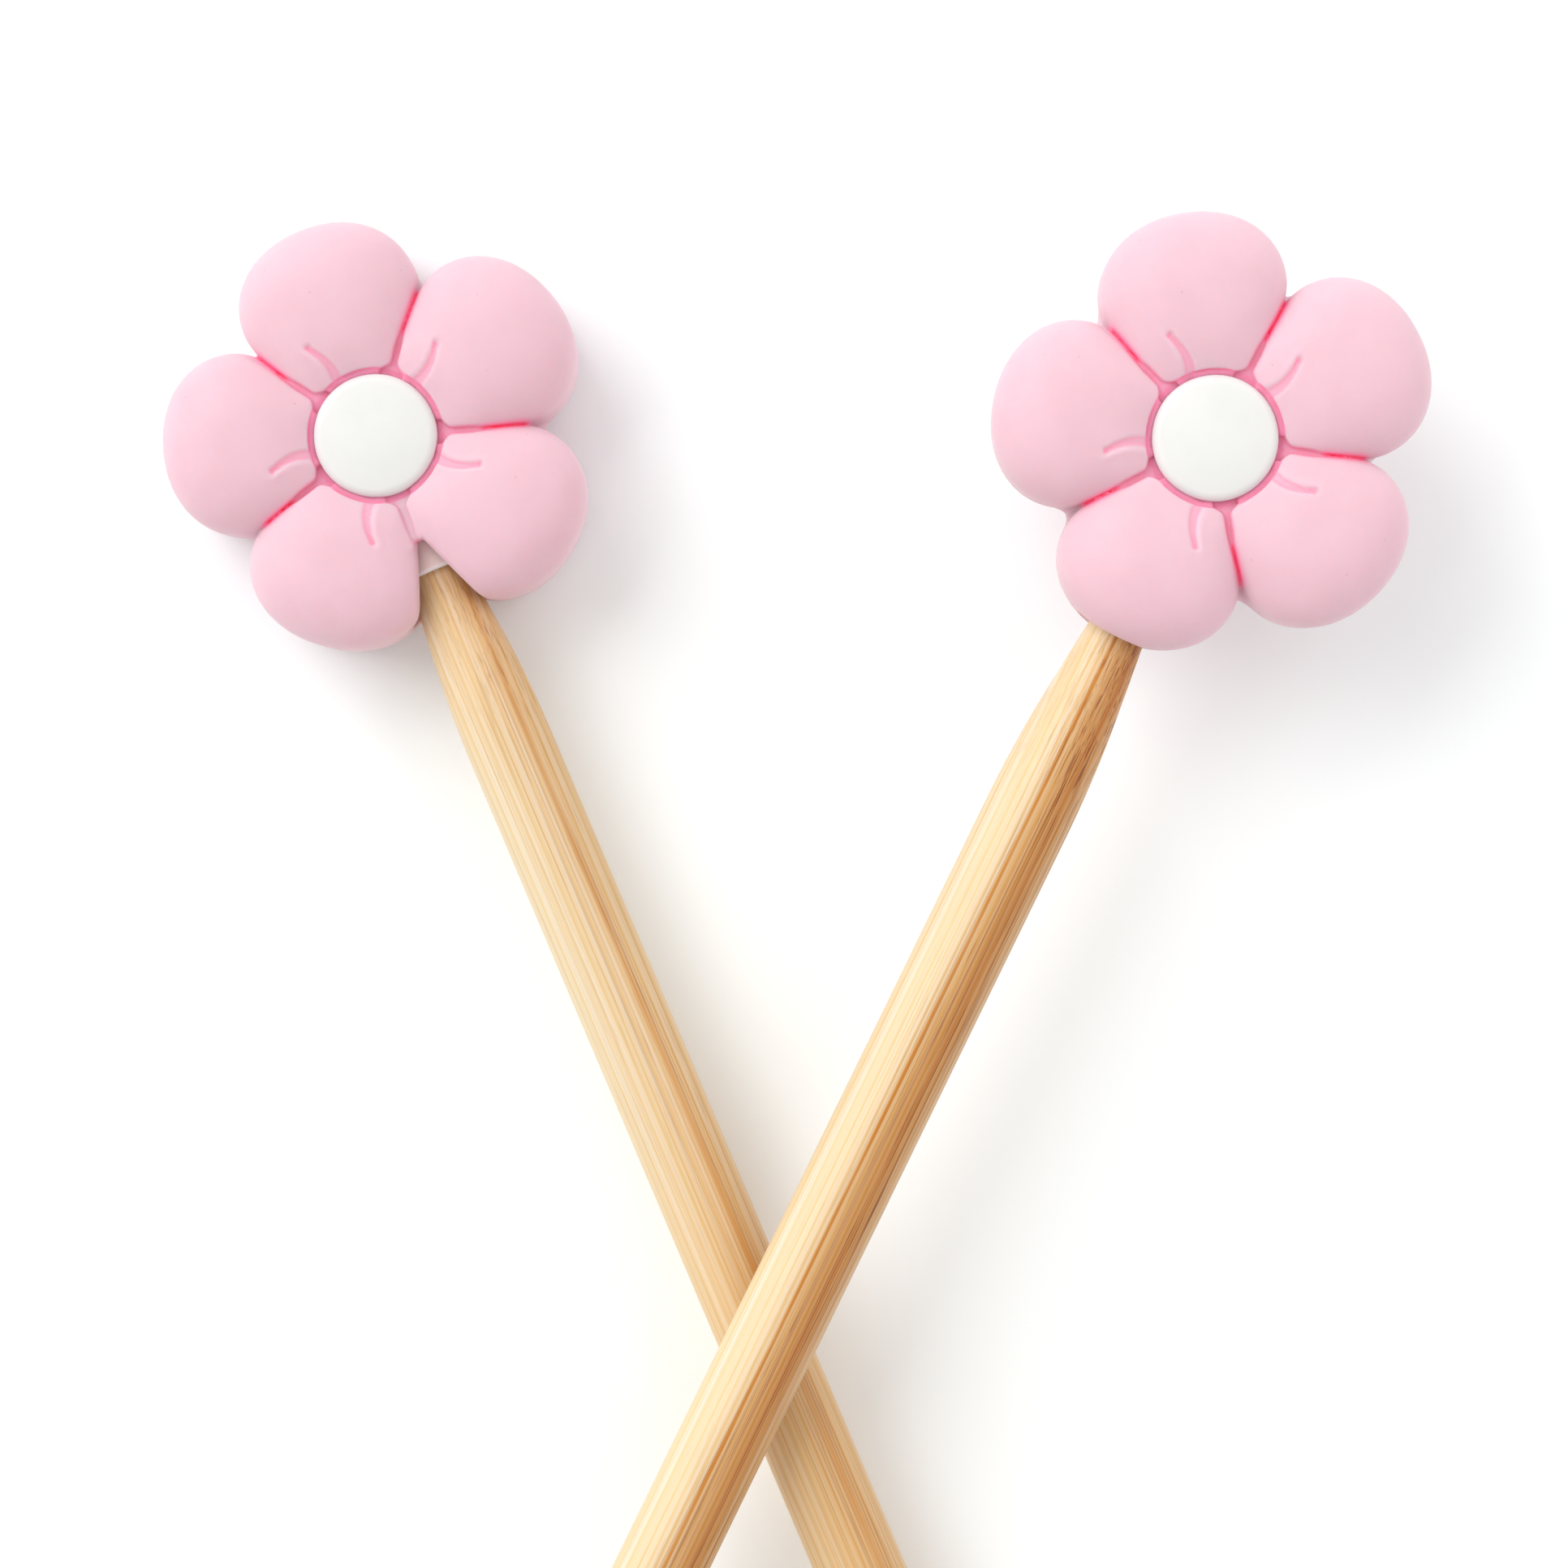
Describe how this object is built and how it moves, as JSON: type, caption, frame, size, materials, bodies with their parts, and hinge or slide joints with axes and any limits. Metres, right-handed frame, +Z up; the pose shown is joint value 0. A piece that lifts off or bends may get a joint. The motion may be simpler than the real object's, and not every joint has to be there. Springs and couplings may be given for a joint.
{
  "type": "straight knitting needles",
  "caption": "Crossed pair of straight bamboo knitting needles with ball knobs and flower-shaped silicone stoppers pushed onto their tapered points.",
  "frame": {"origin": "on the surface that the needles lie on, under the middle of the whole pair's bounding box", "axes": "+Z up from that surface, +Y from the knobs towards the points and stoppers, +X to the right as seen from above with the points away from the viewer"},
  "size_m": [0.1674, 0.2432, 0.0169],
  "materials": {
    "shaft_bamboo": "smooth waxed bamboo, fine fibres along the shaft",
    "knob_bamboo": "turned and waxed bamboo",
    "petal_silicone": "matte pink silicone",
    "button_silicone": "matte white silicone",
    "sleeve_silicone": "pale translucent silicone"
  },
  "bodies": {
    "lower_needle": {"lower_shaft": "shaft_bamboo", "lower_knob": "knob_bamboo"},
    "lower_stopper": {"lower_flower": "petal_silicone", "lower_button": "button_silicone", "lower_sleeve": "sleeve_silicone"},
    "upper_needle": {"upper_shaft": "shaft_bamboo", "upper_knob": "knob_bamboo"},
    "upper_stopper": {"upper_flower": "petal_silicone", "upper_button": "button_silicone", "upper_sleeve": "sleeve_silicone"}
  },
  "joints": [
    {"name": "lower_stopper_pull", "type": "slide", "parent": "lower_needle", "child": "lower_stopper", "axis": [-0.3907, 0.9205, 0], "range_m": [0, 0.03]},
    {"name": "needle_swing", "type": "hinge", "parent": "lower_needle", "child": "upper_needle", "pos_m": [0.00507, 0.05696, 0.0076], "axis": [0, 0, 1], "range_deg": [-80, 20]},
    {"name": "upper_stopper_pull", "type": "slide", "parent": "upper_needle", "child": "upper_stopper", "axis": [0.4366, 0.8992, 0.0271], "range_m": [0, 0.03]}
  ]
}
